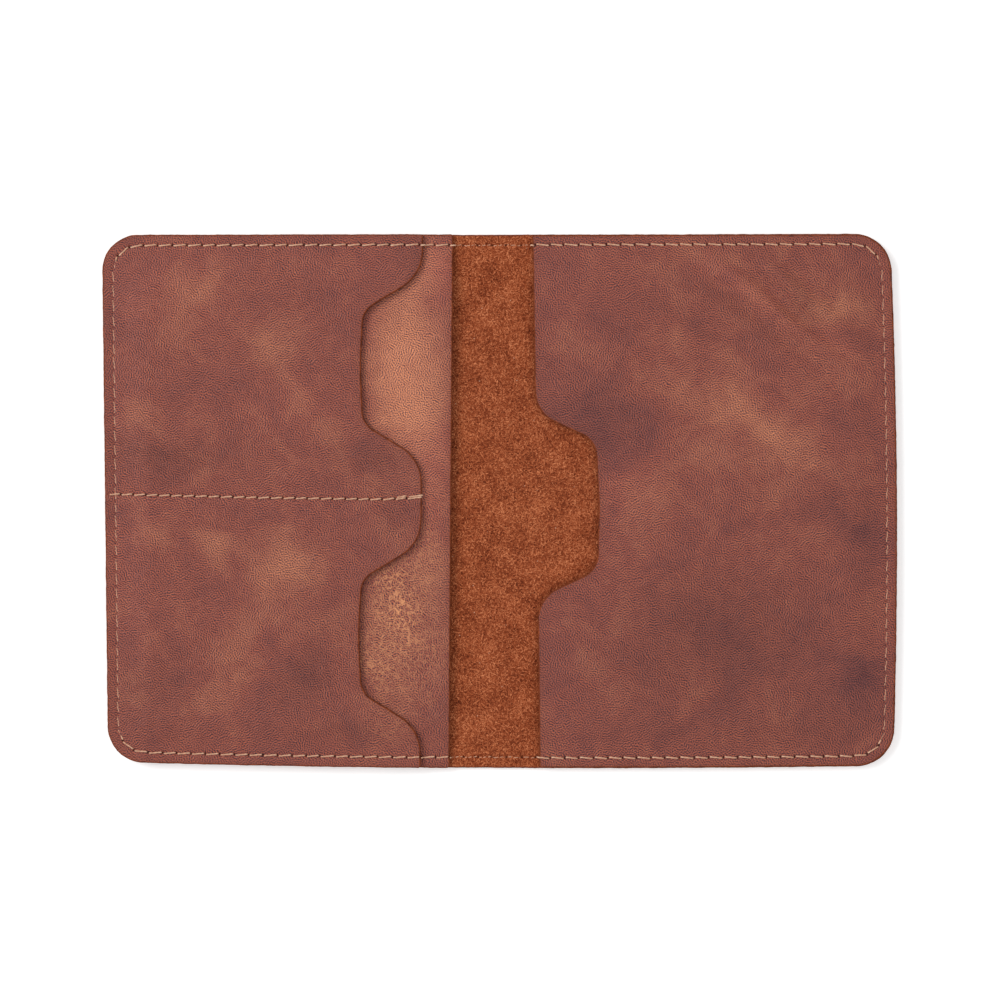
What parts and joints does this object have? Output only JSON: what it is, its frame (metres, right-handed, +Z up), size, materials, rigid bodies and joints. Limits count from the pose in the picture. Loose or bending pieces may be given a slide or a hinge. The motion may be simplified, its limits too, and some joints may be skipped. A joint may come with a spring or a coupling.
{
  "type": "passport holder wallet",
  "caption": "Leather bifold holder, shown open: passport flap with thumb notch on one side, passport sleeve under twin notched card pockets on the other; folds shut along a soft spine.",
  "frame": {"origin": "on the surface it lies on, under the middle of the open wallet, on the fold line", "axes": "+X from the card pockets to the passport flap, +Y along the spine to the top edge, +Z up out of the pockets"},
  "size_m": [0.208, 0.14, 0.0056],
  "materials": {
    "cover_leather": "waxed pull-up grain outside, brushed suede flesh side inside",
    "pocket_leather": "waxed pull-up grain, raw cut edges",
    "thread": "twisted polyester, matt"
  },
  "bodies": {
    "spine": {"cover_spine": "cover_leather", "edge_needle_thread_spine": "thread", "edge_bobbin_thread_spine": "thread"},
    "left_half": {"cover_left_half": "cover_leather", "passport_sleeve": "pocket_leather", "card_panel": "pocket_leather", "edge_needle_thread_left": "thread", "edge_bobbin_thread_left": "thread", "divider_needle_thread": "thread", "divider_bobbin_thread": "thread"},
    "right_half": {"cover_right_half": "cover_leather", "passport_flap": "pocket_leather", "edge_needle_thread_right": "thread", "edge_bobbin_thread_right": "thread"}
  },
  "joints": [
    {"name": "left_cover_fold", "type": "hinge", "parent": "spine", "child": "left_half", "pos_m": [-0.0035, 0, 0.0012], "axis": [0, 1, 0], "range_deg": [0, 90]},
    {"name": "right_cover_fold", "type": "hinge", "parent": "spine", "child": "right_half", "pos_m": [0.0035, 0, 0.0012], "axis": [0, -1, 0], "range_deg": [0, 90]}
  ],
  "couplings": [
    {"joint": "right_cover_fold", "follows": "left_cover_fold", "ratio": 1}
  ]
}
